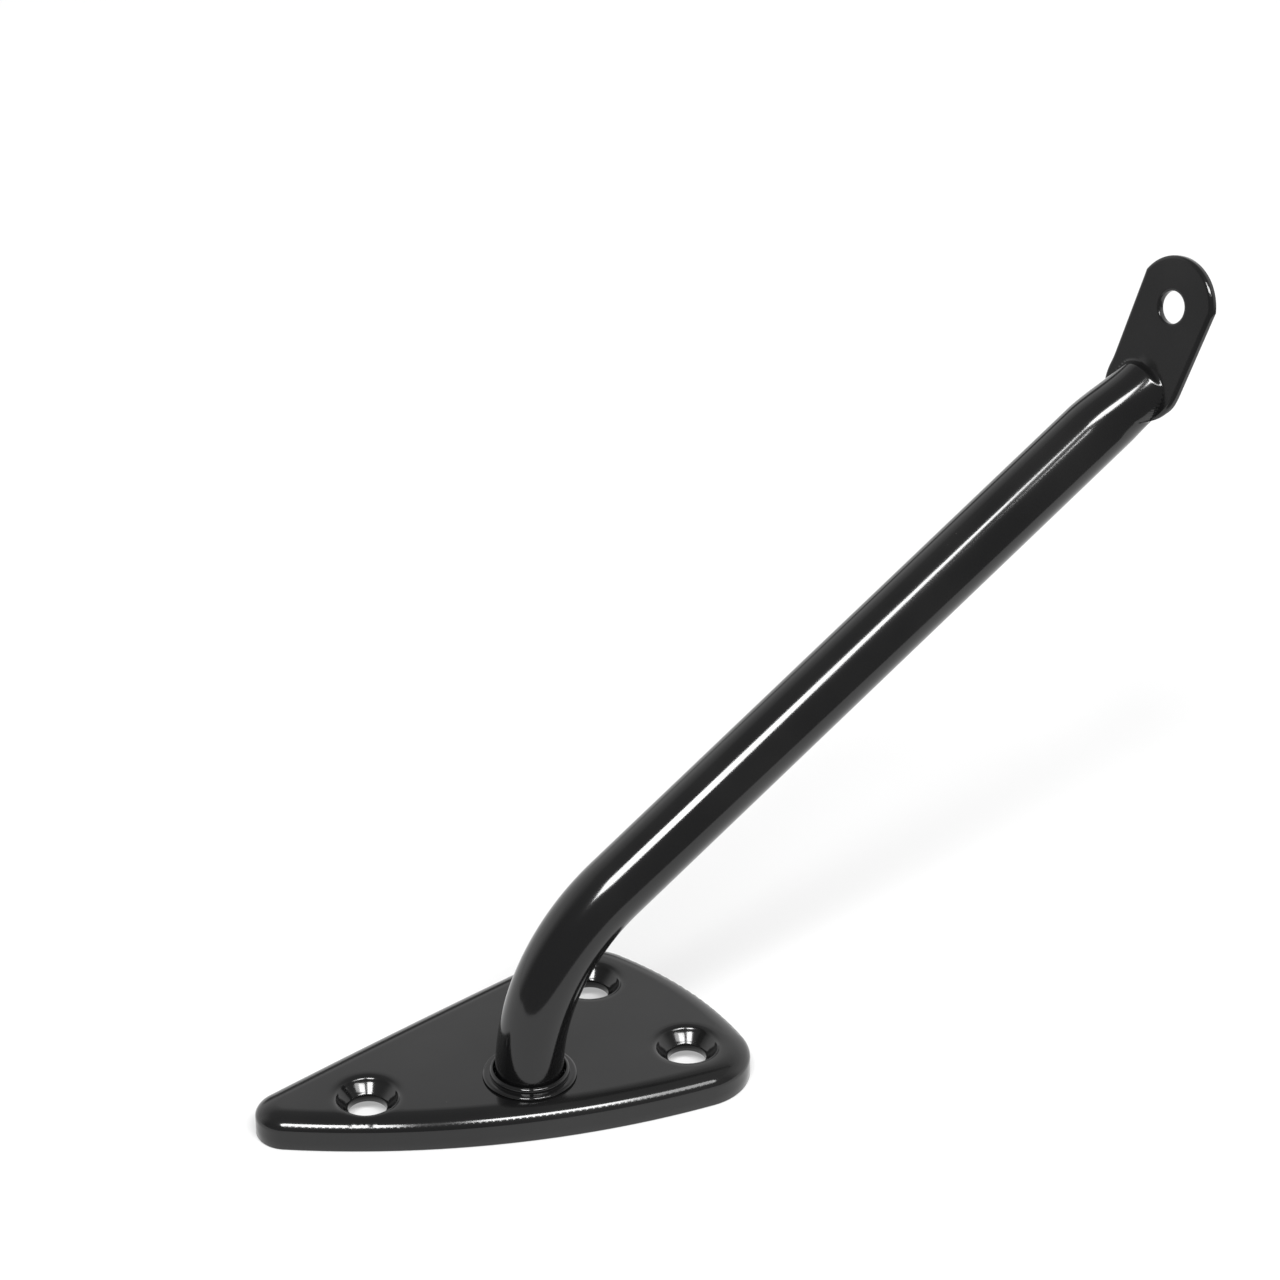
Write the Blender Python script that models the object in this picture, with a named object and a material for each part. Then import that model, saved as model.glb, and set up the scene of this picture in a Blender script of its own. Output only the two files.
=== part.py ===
"""Roof bracket: a pressed foot pan, a collar ring, a bent tube arm and the weld inside the pan.

Metres, +Z up. The origin is on the mounting plane, under the tube's root. +X runs along
the foot from its narrow tip to its broad heel.
"""
import math

import bmesh
import bpy
import numpy as np

MM = 0.001

# foot pan
PAN_HEIGHT = 8.0 * MM
PAN_SHEET = 2.0 * MM
PAN_EDGE_IN = 5.5 * MM
PAN_EDGE_DROP = 3.4 * MM
TIP_CENTRE = (-56.4 * MM, 3.6 * MM)
TIP_RADIUS = 7.6 * MM
HEEL_CENTRE = (38.7 * MM, 1.9 * MM)
HEEL_RADIUS = 14.7 * MM
BACK_CENTRE = (22.6 * MM, 35.6 * MM)
BACK_RADIUS = 14.9 * MM
FRONT_SIDE_RADIUS = 196.0 * MM
HEEL_SIDE_RADIUS = 91.0 * MM
BACK_SIDE_RADIUS = 2000.0 * MM

# screw holes: dimpled countersinks
HOLE_CENTRES = ((-38.2 * MM, 1.7 * MM), (38.5 * MM, 2.1 * MM), (22.9 * MM, 33.9 * MM))
RIM_RADIUS = 6.8 * MM
RIM_DEPTH = 1.1 * MM
DIMPLE_RADIUS = 9.3 * MM
THROAT_RADIUS = 4.5 * MM
CONE_DEPTH = 3.5 * MM
THROAT_DEPTH = 5.2 * MM

# tube arm
TUBE_RADIUS = 8.0 * MM
TUBE_WALL = 1.2 * MM
TUBE_FOOT_Z = 2.6 * MM
CORNER_Z = 36.7 * MM
BEND_RADIUS = 50.0 * MM
ARM_AZIMUTH = math.radians(16.0)
ARM_ELEVATION = math.radians(32.6)
ARM_LENGTH = 193.9 * MM

# flattened end of the arm
FLAT_BEND = math.radians(40.0)
FLAT_TWIST = math.radians(11.7)
FLAT_THICK = 1.8 * MM
FLAT_HALF = 10.5 * MM
FLAT_TAPER = 0.025
FLAT_ROUND = 0.8 * MM
FLAT_END_RADIUS = 11.9 * MM
FLAT_HOLE_AT = 25.1 * MM
FLAT_HOLE_RADIUS = 3.8 * MM
FLAT_SHIFT = -1.25 * MM
FLAT_SKEW = 0.03
FLARE_CENTRE = 5.5 * MM
TOE_CENTRE = 1.0 * MM
TOE_RADIUS = 9.5 * MM
TOE_RISE = 2.6 * MM
BACK_ROUND = 2.8 * MM

# collar ring round the root of the tube
COLLAR_BASE = 11.0 * MM
COLLAR_FLANGE = 0.9 * MM
COLLAR_TOP = 9.4 * MM
COLLAR_HEIGHT = 2.1 * MM
COLLAR_CHAMFER = 0.3 * MM

# weld inside the pan
WELD_RADIUS = 11.0 * MM
WELD_DEPTH = 2.8 * MM

GAP = 0.3 * MM
AROUND = 40

for old in list(bpy.data.objects):
    bpy.data.objects.remove(old, do_unlink=True)


def black_coat(name, base, roughness):
    """A black powder coat over metal."""
    mat = bpy.data.materials.new(name)
    mat.use_nodes = True
    shader = mat.node_tree.nodes["Principled BSDF"]
    shader.inputs["Base Color"].default_value = (base, base, base, 1.0)
    shader.inputs["Roughness"].default_value = roughness
    shader.inputs["Metallic"].default_value = 0.0
    return mat


def add_object(name, mesh, mat=None):
    """Link a mesh as a named object, smooth where it is round."""
    obj = bpy.data.objects.new(name, mesh)
    bpy.context.scene.collection.objects.link(obj)
    if mat is not None:
        mesh.materials.append(mat)
    mesh.shade_smooth()
    mesh.set_sharp_from_angle(angle=math.radians(35.0))
    return obj


def rings_mesh(name, rings, closed=False):
    """Join equal rings of points into one skin; the two ends are capped, or joined if closed."""
    count, around = rings.shape[:2]
    faces = []
    for i in range(count if closed else count - 1):
        for j in range(around):
            k = (j + 1) % around
            n = (i + 1) % count
            faces.append((i * around + j, i * around + k, n * around + k, n * around + j))
    if not closed:
        faces.append(tuple(range(around))[::-1])
        faces.append(tuple(range((count - 1) * around, count * around)))
    mesh = bpy.data.meshes.new(name)
    mesh.from_pydata(rings.reshape(-1, 3).tolist(), [], faces)
    tidy(mesh)
    return mesh


def tidy(mesh):
    """Merge points that coincide and turn every face outwards."""
    bm = bmesh.new()
    bm.from_mesh(mesh)
    bmesh.ops.remove_doubles(bm, verts=bm.verts, dist=0.00001)
    bmesh.ops.recalc_face_normals(bm, faces=bm.faces)
    bm.to_mesh(mesh)
    bm.free()
    mesh.update()


def turned_mesh(name, profile, centre=(0.0, 0.0), steps=AROUND):
    """Turn a closed (radius, height) loop about a vertical axis."""
    angle = np.linspace(0.0, 2.0 * math.pi, steps, endpoint=False)
    loop = np.array(profile)
    rings = np.empty((steps, len(loop), 3))
    rings[:, :, 0] = centre[0] + np.cos(angle)[:, None] * loop[:, 0]
    rings[:, :, 1] = centre[1] + np.sin(angle)[:, None] * loop[:, 0]
    rings[:, :, 2] = loop[:, 1]
    return rings_mesh(name, rings, closed=True)


def plug_mesh(name, profile, centre, steps=AROUND):
    """A solid of revolution from (radius, height) rings, bottom to top."""
    angle = np.linspace(0.0, 2.0 * math.pi, steps, endpoint=False)
    loop = np.array(profile)
    rings = np.empty((len(loop), steps, 3))
    rings[:, :, 0] = centre[0] + loop[:, 0:1] * np.cos(angle)
    rings[:, :, 1] = centre[1] + loop[:, 0:1] * np.sin(angle)
    rings[:, :, 2] = loop[:, 1:2]
    return rings_mesh(name, rings)


def combine(target, other, operation):
    """Apply one exact Boolean to target and remove the other solid."""
    mod = target.modifiers.new(operation.lower(), "BOOLEAN")
    mod.operation = operation
    mod.solver = "EXACT"
    mod.object = other
    depsgraph = bpy.context.evaluated_depsgraph_get()
    mesh = bpy.data.meshes.new_from_object(target.evaluated_get(depsgraph))
    target.modifiers.remove(mod)
    target.data = mesh
    bpy.data.objects.remove(other, do_unlink=True)


def side_centre(start, start_radius, end, end_radius, radius):
    """Centre of the long arc that touches both corner discs from outside them."""
    start = np.array(start)
    end = np.array(end)
    span = np.linalg.norm(end - start)
    along = (end - start) / span
    outward = np.array([along[1], -along[0]])
    a = radius - start_radius
    b = radius - end_radius
    reach = (span * span + a * a - b * b) / (2.0 * span)
    return start + along * reach - outward * math.sqrt(a * a - reach * reach)


def arc_points(centre, radius, first, last, count):
    """Points and outward normals on an arc, its far end left out."""
    a0 = math.atan2(first[1], first[0])
    a1 = math.atan2(last[1], last[0])
    if a1 < a0:
        a1 += 2.0 * math.pi
    angle = np.linspace(a0, a1, count, endpoint=False)
    normal = np.stack([np.cos(angle), np.sin(angle)], axis=1)
    return np.array(centre) + radius * normal, normal


def foot_outline():
    """The foot's plan: three corner arcs joined by three long side arcs, anticlockwise."""
    tip = np.array(TIP_CENTRE)
    heel = np.array(HEEL_CENTRE)
    back = np.array(BACK_CENTRE)
    front = side_centre(tip, TIP_RADIUS, heel, HEEL_RADIUS, FRONT_SIDE_RADIUS)
    right = side_centre(heel, HEEL_RADIUS, back, BACK_RADIUS, HEEL_SIDE_RADIUS)
    left = side_centre(back, BACK_RADIUS, tip, TIP_RADIUS, BACK_SIDE_RADIUS)
    arcs = (
        (tip, TIP_RADIUS, tip - left, tip - front, 10),
        (front, FRONT_SIDE_RADIUS, tip - front, heel - front, 9),
        (heel, HEEL_RADIUS, heel - front, heel - right, 9),
        (right, HEEL_SIDE_RADIUS, heel - right, back - right, 4),
        (back, BACK_RADIUS, back - right, back - left, 10),
        (left, BACK_SIDE_RADIUS, back - left, tip - left, 3),
    )
    parts = [arc_points(*arc) for arc in arcs]
    return np.vstack([p[0] for p in parts]), np.vstack([p[1] for p in parts])


def slab(name, inset_and_z):
    """A solid stacked from insets of the foot's plan, each at its own height."""
    points, normals = foot_outline()
    rings = np.empty((len(inset_and_z), len(points), 3))
    for i, (inset, z) in enumerate(inset_and_z):
        rings[i, :, :2] = points - normals * inset
        rings[i, :, 2] = z
    return rings_mesh(name, rings)


def edge_rings(inset, top, reach, drop, steps):
    """Rings of an elliptical edge that rises to the flat top."""
    angle = np.linspace(0.0, 0.5 * math.pi, steps)
    return [(inset + reach * (1.0 - math.cos(a)), top - drop + drop * math.sin(a)) for a in angle]


def build_pan(mat):
    """The pressed pan: flat top, rounded edge, upright skirt, three dimpled screw holes."""
    outer = [(0.0, 0.0)] + edge_rings(0.0, PAN_HEIGHT, PAN_EDGE_IN, PAN_EDGE_DROP, 7)
    inner_top = PAN_HEIGHT - PAN_SHEET
    inner_edge = edge_rings(PAN_SHEET, inner_top, PAN_EDGE_IN - PAN_SHEET, PAN_EDGE_DROP - PAN_SHEET, 5)
    inner = [(PAN_SHEET, -PAN_HEIGHT)] + inner_edge
    pan = add_object("foot_pan", slab("foot_pan", outer))
    combine(pan, add_object("hollow", slab("hollow", inner)), "DIFFERENCE")
    for centre in HOLE_CENTRES:
        add_dimple(pan, centre)
    bore = [(TUBE_RADIUS + GAP, 0.0), (TUBE_RADIUS + GAP, PAN_HEIGHT + PAN_SHEET)]
    combine(pan, add_object("bore", plug_mesh("bore", bore, (0.0, 0.0))), "DIFFERENCE")
    finish(pan, mat)
    return pan


def add_dimple(pan, centre):
    """Press one countersink: metal pushed down under the sheet, then the cone and the throat."""
    top = PAN_HEIGHT
    lip = top - THROAT_DEPTH
    under = [
        (THROAT_RADIUS + 1.2 * MM, lip),
        (RIM_RADIUS + 1.4 * MM, top - PAN_SHEET - 0.5 * MM),
        (RIM_RADIUS + 1.4 * MM, top - 0.7 * PAN_SHEET),
    ]
    combine(pan, add_object("dimple", plug_mesh("dimple", under, centre)), "UNION")
    cone = [
        (THROAT_RADIUS, lip - 1.0 * MM),
        (THROAT_RADIUS, top - CONE_DEPTH),
        (RIM_RADIUS, top - RIM_DEPTH),
        (RIM_RADIUS + 0.3 * MM, top - 0.5 * MM),
        (RIM_RADIUS + 0.9 * MM, top - 0.2 * MM),
        (DIMPLE_RADIUS - 0.7 * MM, top - 0.04 * MM),
        (DIMPLE_RADIUS, top),
        (DIMPLE_RADIUS, top + 1.0 * MM),
    ]
    combine(pan, add_object("cone", plug_mesh("cone", cone, centre)), "DIFFERENCE")


def finish(obj, mat):
    """Give a worked solid its material and its shading."""
    obj.data.materials.clear()
    obj.data.materials.append(mat)
    obj.data.shade_smooth()
    obj.data.set_sharp_from_angle(angle=math.radians(35.0))


def arm_axes(turn):
    """Tangent, near side and width directions of the tube after turning off the vertical."""
    level = np.array([math.cos(ARM_AZIMUTH), math.sin(ARM_AZIMUTH), 0.0])
    up = np.array([0.0, 0.0, 1.0])
    tangent = math.sin(turn) * level + math.cos(turn) * up
    lift = -math.cos(turn) * level + math.sin(turn) * up
    side = np.cross(level, up)
    near = math.cos(FLAT_TWIST) * lift + math.sin(FLAT_TWIST) * side
    return tangent, near, np.cross(near, tangent)


def tube_ring(radius, centre, axes, phi, tilt=0.0):
    """One ring of the round tube; tilt leans it back on its near side."""
    tangent, near, width = axes
    lean = -radius * np.cos(phi) * tilt
    points = centre + np.outer(radius * np.cos(phi), near)
    return points + np.outer(radius * np.sin(phi), width) + np.outer(lean, tangent)


def root_rings(radius, phi, steps):
    """Rings up the upright root and round the main bend."""
    full = 0.5 * math.pi - ARM_ELEVATION
    start = CORNER_Z - BEND_RADIUS * math.tan(0.5 * full)
    level = np.array([math.cos(ARM_AZIMUTH), math.sin(ARM_AZIMUTH), 0.0])
    up = np.array([0.0, 0.0, 1.0])
    rings = [tube_ring(radius, up * TUBE_FOOT_Z, arm_axes(0.0), phi)]
    for turn in np.linspace(0.0, full, steps):
        centre = up * (start + BEND_RADIUS * math.sin(turn)) + level * BEND_RADIUS * (1.0 - math.cos(turn))
        rings.append(tube_ring(radius, centre, arm_axes(turn), phi))
    return rings


def step(x, low, high):
    """Smooth step from 0 at low to 1 at high."""
    t = np.clip((x - low) / (high - low), 0.0, 1.0)
    return t * t * (3.0 - 2.0 * t)


def flat_half_width(u):
    """Half the width of the flattened end at a distance along it."""
    if u < FLARE_CENTRE:
        return math.sqrt(max(FLAT_HALF ** 2 - (FLARE_CENTRE - u) ** 2, (0.5 * TUBE_RADIUS) ** 2))
    past = min(max(u - FLAT_HOLE_AT, 0.0), 0.999 * FLAT_END_RADIUS)
    return min(FLAT_HALF + FLAT_TAPER * (u - FLARE_CENTRE), math.sqrt(FLAT_END_RADIUS ** 2 - past ** 2))


def flat_edge(u, v, half):
    """Share of the full thickness near the flat's rounded edge, from 0 on it to 1 inside it."""
    inset = half - np.abs(v)
    if u > FLAT_HOLE_AT:
        inset = np.minimum(inset, FLAT_END_RADIUS - np.hypot(u - FLAT_HOLE_AT, v))
    return np.sqrt(1.0 - (1.0 - np.clip(inset / FLAT_ROUND, 0.0, 1.0)) ** 2)


def shoulder(u, v):
    """Height of the step between the round tube and the flat, rising inside the toe's arc."""
    reach = np.hypot(max(u - TOE_CENTRE, 0.0), v)
    inside = np.clip((TOE_RADIUS - reach) / TOE_RISE, 0.0, 1.2)
    return 16.0 * MM * inside ** 2.2 + max(TOE_CENTRE - u, 0.0)


def soft_max(a, b, width):
    """The larger of two heights, rounded where they differ by less than width."""
    close = np.clip(1.0 - np.abs(a - b) / width, 0.0, None)
    return np.maximum(a, b) + 0.25 * width * close ** 2


def section(u, phi):
    """Width and height of the end's outline at a distance along the flat."""
    half = flat_half_width(u)
    reach = max(half, TUBE_RADIUS) if u < FLARE_CENTRE else half
    v = reach * np.sin(phi)
    root = np.sqrt(np.clip(TUBE_RADIUS ** 2 - v ** 2, 0.0, None))
    sine = math.sin(FLAT_BEND)
    cosine = math.cos(FLAT_BEND)
    edge = -0.5 * FLAT_THICK
    body = flat_edge(u, v, half)
    side = -u * math.tan(FLAT_BEND)
    blend = float(step(u, -3.0 * MM, 3.0 * MM))
    middle = (1.0 - blend) * max(side, edge) + blend * edge
    near = np.minimum((root - u * sine) / cosine, shoulder(u, v))
    near = np.where(np.abs(v) < TUBE_RADIUS, near, middle)
    front = np.maximum(near, edge + 0.5 * FLAT_THICK * body)
    back = soft_max((-root - u * sine) / cosine, -FLAT_THICK, BACK_ROUND)
    flat_back = np.minimum(back, edge - 0.5 * FLAT_THICK * body)
    back = np.where(np.abs(v) <= half, back + blend * (flat_back - back), back)
    return v, front, back


def end_ring(u, phi, corner, axes):
    """One ring across the flattened end."""
    tangent, near, width = axes
    along = math.cos(FLAT_BEND) * tangent + math.sin(FLAT_BEND) * near
    normal = -math.sin(FLAT_BEND) * tangent + math.cos(FLAT_BEND) * near
    v, front, back = section(u, phi)
    height = np.where(np.cos(phi) > 1e-9, front, back)
    middle = 0.5 * (front + back)
    height = np.where(np.abs(np.cos(phi)) < 1e-9, middle, height)
    shift = (FLAT_SHIFT + FLAT_SKEW * (u - FLAT_HOLE_AT)) * float(step(u, -6.0 * MM, 8.0 * MM))
    origin = corner + tangent * ARM_LENGTH + along * u + width * shift
    return origin + np.outer(v, width) + np.outer(height, normal)


def arm_rings(phi):
    """All the rings of the arm's outside, from the root to the end of the flat."""
    full = 0.5 * math.pi - ARM_ELEVATION
    axes = arm_axes(full)
    corner = np.array([0.0, 0.0, CORNER_Z])
    rings = root_rings(TUBE_RADIUS, phi, 12)
    first = -14.0 * MM
    stop = first / math.cos(FLAT_BEND)
    for t in (0.0, 0.25, 0.5, 0.75):
        place = ARM_LENGTH + (1.0 - t) * -36.0 * MM + t * stop
        lean = t * math.tan(FLAT_BEND)
        rings.append(tube_ring(TUBE_RADIUS, corner + axes[0] * place, axes, phi, lean))
    stations = np.array([-14.0, -12.0, -10.0, -8.0, -6.2, -4.5, -2.8, -1.2, 0.4, 2.0, 3.5, 5.0, 6.2, 7.2,
                         8.0, 8.7, 9.3, 9.8, 12.0, 20.0, 29.5]) * MM
    for u in stations:
        rings.append(end_ring(u, phi, corner, axes))
    for a in np.radians([24.0, 29.0, 36.0, 44.0, 52.0, 60.0, 68.0, 75.0, 81.0, 86.0]):
        rings.append(end_ring(FLAT_HOLE_AT + FLAT_END_RADIUS * math.sin(a), phi, corner, axes))
    return np.array(rings)


def build_arm(mat):
    """The bent tube, open at its foot, its far end flattened, bent up and punched."""
    phi = np.linspace(0.0, 2.0 * math.pi, AROUND, endpoint=False)
    arm = add_object("arm_tube", rings_mesh("arm_tube", arm_rings(phi)))
    bore_radius = TUBE_RADIUS - TUBE_WALL
    inner = root_rings(bore_radius, phi[::2], 9)
    inner[0] = inner[0] - np.array([0.0, 0.0, 5.0 * MM])
    axes = arm_axes(0.5 * math.pi - ARM_ELEVATION)
    corner = np.array([0.0, 0.0, CORNER_Z])
    tail = corner + axes[0] * (ARM_LENGTH - 36.0 * MM)
    inner.append(tube_ring(bore_radius, tail, axes, phi[::2]))
    inner.append(tube_ring(0.3 * bore_radius, tail + axes[0] * 14.0 * MM, axes, phi[::2]))
    combine(arm, add_object("bore", rings_mesh("bore", np.array(inner))), "DIFFERENCE")
    combine(arm, add_object("punch", punch_mesh(corner, axes)), "DIFFERENCE")
    finish(arm, mat)
    return arm


def punch_mesh(corner, axes):
    """A round bar square to the flat, at the bolt hole."""
    tangent, near, width = axes
    along = math.cos(FLAT_BEND) * tangent + math.sin(FLAT_BEND) * near
    normal = -math.sin(FLAT_BEND) * tangent + math.cos(FLAT_BEND) * near
    centre = corner + tangent * ARM_LENGTH + along * FLAT_HOLE_AT + width * FLAT_SHIFT
    angle = np.linspace(0.0, 2.0 * math.pi, 32, endpoint=False)
    circle = np.outer(np.cos(angle), along) + np.outer(np.sin(angle), width)
    ends = [centre + circle * FLAT_HOLE_RADIUS + normal * h for h in (-6.0 * MM, 6.0 * MM)]
    return rings_mesh("punch", np.array(ends))


def build_collar(mat):
    """The stepped ring that sits on the pan round the tube."""
    low = PAN_HEIGHT + GAP
    inside = TUBE_RADIUS + GAP
    profile = [
        (inside, low),
        (COLLAR_BASE, low),
        (COLLAR_BASE, PAN_HEIGHT + COLLAR_FLANGE - COLLAR_CHAMFER),
        (COLLAR_BASE - COLLAR_CHAMFER, PAN_HEIGHT + COLLAR_FLANGE),
        (COLLAR_TOP, PAN_HEIGHT + COLLAR_FLANGE),
        (COLLAR_TOP, PAN_HEIGHT + COLLAR_HEIGHT - COLLAR_CHAMFER),
        (COLLAR_TOP - COLLAR_CHAMFER, PAN_HEIGHT + COLLAR_HEIGHT),
        (inside + 0.4 * MM, PAN_HEIGHT + COLLAR_HEIGHT),
        (inside, PAN_HEIGHT + COLLAR_HEIGHT - 0.5 * MM),
    ]
    return add_object("root_collar", turned_mesh("root_collar", profile), mat)


def build_weld(mat):
    """The fillet weld that holds the tube under the pan's sheet."""
    top = PAN_HEIGHT - PAN_SHEET - GAP
    inside = TUBE_RADIUS + GAP
    profile = [
        (inside, top - WELD_DEPTH),
        (inside + 0.7 * MM, top - WELD_DEPTH + 0.1 * MM),
        (inside + 1.3 * MM, top - 1.2 * MM),
        (WELD_RADIUS, top - 0.5 * MM),
        (WELD_RADIUS, top),
        (inside, top),
    ]
    return add_object("root_weld", turned_mesh("root_weld", profile), mat)


gloss = black_coat("arm_coat", 0.012, 0.12)
build_pan(black_coat("pan_coat", 0.012, 0.15))
build_collar(black_coat("collar_coat", 0.012, 0.14))
build_arm(gloss)
build_weld(black_coat("weld_coat", 0.015, 0.35))
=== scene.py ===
import math

import bmesh
import bpy
import numpy as np
from mathutils import Matrix, Vector
from mathutils.geometry import delaunay_2d_cdt


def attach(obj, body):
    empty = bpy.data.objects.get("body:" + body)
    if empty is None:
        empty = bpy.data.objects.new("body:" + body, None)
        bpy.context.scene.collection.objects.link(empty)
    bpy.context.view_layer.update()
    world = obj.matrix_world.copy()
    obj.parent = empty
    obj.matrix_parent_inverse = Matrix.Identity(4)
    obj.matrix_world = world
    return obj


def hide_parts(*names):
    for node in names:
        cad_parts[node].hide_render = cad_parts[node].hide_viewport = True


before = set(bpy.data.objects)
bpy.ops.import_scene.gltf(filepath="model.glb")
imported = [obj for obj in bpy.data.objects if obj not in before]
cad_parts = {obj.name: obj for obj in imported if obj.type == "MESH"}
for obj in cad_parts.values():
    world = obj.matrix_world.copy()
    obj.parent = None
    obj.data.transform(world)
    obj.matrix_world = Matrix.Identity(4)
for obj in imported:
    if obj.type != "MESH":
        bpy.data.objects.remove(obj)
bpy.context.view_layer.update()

mm = 0.001

# ---------------------------------------------------------------- foot pan
# The foot is pressed from one steel sheet: a flat top, a rounded edge and an upright
# skirt that stands on the roof. Three screw holes are dimpled down through the top,
# and a plain hole lets the tube in.
pan_height = 8.0 * mm
pan_sheet = 2.0 * mm
edge_in, edge_drop = 5.5 * mm, 3.4 * mm
skirt_middle, rim_round, rim_ease = 2.5 * mm, 0.35 * mm, 0.1 * mm
corner_discs = (
    ((-56.4 * mm, 3.6 * mm), 7.6 * mm),
    ((38.7 * mm, 1.9 * mm), 14.7 * mm),
    ((22.6 * mm, 35.6 * mm), 14.9 * mm),
)
side_radii = (196.0 * mm, 91.0 * mm, 2000.0 * mm)
screw_centres = ((-38.2 * mm, 1.7 * mm), (38.5 * mm, 2.1 * mm), (22.9 * mm, 33.9 * mm))
throat_end, cone_end = 5.0 * mm, 6.4 * mm
tube_radius = 8.0 * mm
gap = 0.3 * mm
hole_margin = 1.2 * mm
screw_steps, tube_steps = 120, 160
join_distance = 2e-6


def side_centre(a, b, radius):
    """Centre of the long arc that wraps two corner discs: radius - disc radius from each."""
    (start, r0), (end, r1) = a, b
    start, end = np.array(start), np.array(end)
    span = np.linalg.norm(end - start)
    along = (end - start) / span
    outward = np.array([along[1], -along[0]])
    p, q = radius - r0, radius - r1
    reach = (span * span + p * p - q * q) / (2.0 * span)
    return start + along * reach - outward * math.sqrt(p * p - reach * reach)


def arc(centre, radius, first, last, count):
    """Points centre + radius (cos t, sin t) and the normals (cos t, sin t), the last left out."""
    t0 = math.atan2(first[1], first[0])
    t1 = math.atan2(last[1], last[0])
    t = np.linspace(t0, t1 + 2.0 * math.pi * (t1 < t0), count, endpoint=False)
    normal = np.stack([np.cos(t), np.sin(t)], axis=1)
    return np.asarray(centre) + radius * normal, normal


def foot_arcs():
    """The plan's six arcs: centre, radius, first and last direction, points."""
    tip, heel, back = corner_discs
    front = side_centre(tip, heel, side_radii[0])
    right = side_centre(heel, back, side_radii[1])
    left = side_centre(back, tip, side_radii[2])
    t, h, b = (np.array(c[0]) for c in corner_discs)
    return (
        (t, tip[1], t - left, t - front, 48),
        (front, side_radii[0], t - front, h - front, 130),
        (h, heel[1], h - front, h - right, 48),
        (right, side_radii[1], h - right, b - right, 36),
        (b, back[1], b - right, b - left, 56),
        (left, side_radii[2], b - left, t - left, 90),
    )


def inset_of(plan):
    """Distance of plan points inside the outline.

    It is radius - |p - centre| for the arc that faces the point, the least where two do.
    """
    best = np.full(len(plan), 1.0)
    for centre, radius, first, last, _ in foot_arcs():
        away = plan - centre
        t0 = math.atan2(first[1], first[0])
        span = (math.atan2(last[1], last[0]) - t0) % (2.0 * math.pi)
        turn = (np.arctan2(away[:, 1], away[:, 0]) - t0 + 1e-9) % (2.0 * math.pi)
        depth = radius - np.hypot(away[:, 0], away[:, 1])
        best = np.where(turn <= span + 2e-9, np.minimum(best, depth), best)
    return best


def quarter(x0, z0, radius, a0, a1, count):
    """A profile's fillet: (x0, z0) + radius (cos a, sin a), for a from a0 to a1 degrees."""
    a = np.radians(np.linspace(a0, a1, count))
    return np.stack([x0 + radius * np.cos(a), z0 + radius * np.sin(a)], axis=1)


def grid_faces(rows, columns, around):
    """Quads (i, j) (i, j + 1) (i + 1, j + 1) (i + 1, j), the columns a ring if around."""
    wide = columns if around else columns - 1
    i, j = np.meshgrid(np.arange(rows - 1), np.arange(wide), indexing="ij")
    here, beside = i * columns + j, i * columns + (j + 1) % columns
    quads = np.stack([here, beside, beside + columns, here + columns], axis=-1)
    return quads.reshape(-1, 4)


class Shell:
    """Collects patches of one closed skin, then welds their shared borders."""

    def __init__(self):
        self.points = []
        self.faces = []
        self.total = 0

    def add(self, points, faces):
        """Points and the faces between them, their numbers moved on past the points so far."""
        self.points.append(points.reshape(-1, 3))
        self.faces += (faces + self.total).tolist()
        self.total += self.points[-1].shape[0]

    def grid(self, points, around=True):
        """points[row, column] joined by quads."""
        self.add(points, grid_faces(points.shape[0], points.shape[1], around))

    def sheet(self, loops, lift, more=None):
        """Delaunay triangles inside the first plan loop and outside the others.

        lift(plan) places them in space; more holds loose plan points between the loops.
        """
        plan = np.vstack(loops if more is None else loops + [more])
        sizes = [len(loop) for loop in loops]
        starts = np.cumsum([0] + sizes[:-1])
        edges = np.vstack([
            start + np.column_stack([np.arange(n), np.roll(np.arange(n), -1)])
            for start, n in zip(starts, sizes)
        ])
        spots = [Vector(p) for p in (plan / mm).tolist()]
        done = delaunay_2d_cdt(spots, edges.tolist(), [], 0, 1e-6)
        flat = np.array(done[0]) * mm
        tris = np.array(done[2])
        middle = flat[tris].mean(axis=1)
        keep = inside(middle, loops[0])
        for loop in loops[1:]:
            keep &= ~inside(middle, loop)
        self.add(lift(flat), tris[keep])

    def build(self, name, sharp=40.0):
        """One object: near points welded, normals outwards, edges over sharp degrees kept."""
        mesh = bpy.data.meshes.new(name)
        mesh.from_pydata(np.vstack(self.points).tolist(), [], self.faces)
        bm = bmesh.new()
        bm.from_mesh(mesh)
        bmesh.ops.remove_doubles(bm, verts=bm.verts, dist=join_distance)
        bmesh.ops.recalc_face_normals(bm, faces=bm.faces)
        bm.to_mesh(mesh)
        bm.free()
        mesh.shade_smooth()
        mesh.set_sharp_from_angle(angle=math.radians(sharp))
        piece = bpy.data.objects.new(name, mesh)
        bpy.context.scene.collection.objects.link(piece)
        return piece


def inside(points, loop):
    """Even-odd test of many points against one closed plan loop."""
    a, b = loop, np.roll(loop, -1, axis=0)
    x, y = points[:, 0:1], points[:, 1:2]
    spans = (a[:, 1] > y) != (b[:, 1] > y)
    rise = np.where(np.abs(b[:, 1] - a[:, 1]) < 1e-15, 1e-15, b[:, 1] - a[:, 1])
    cross = a[:, 0] + (y - a[:, 1]) / rise * (b[:, 0] - a[:, 0])
    return (np.sum(spans & (x < cross), axis=1) % 2) == 1


def plan_loop(inset):
    """The outline moved inwards: centre + (radius - inset)(cos t, sin t) along each arc."""
    return np.vstack([arc(c, r - inset, p, q, n)[0] for c, r, p, q, n in foot_arcs()])


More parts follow.
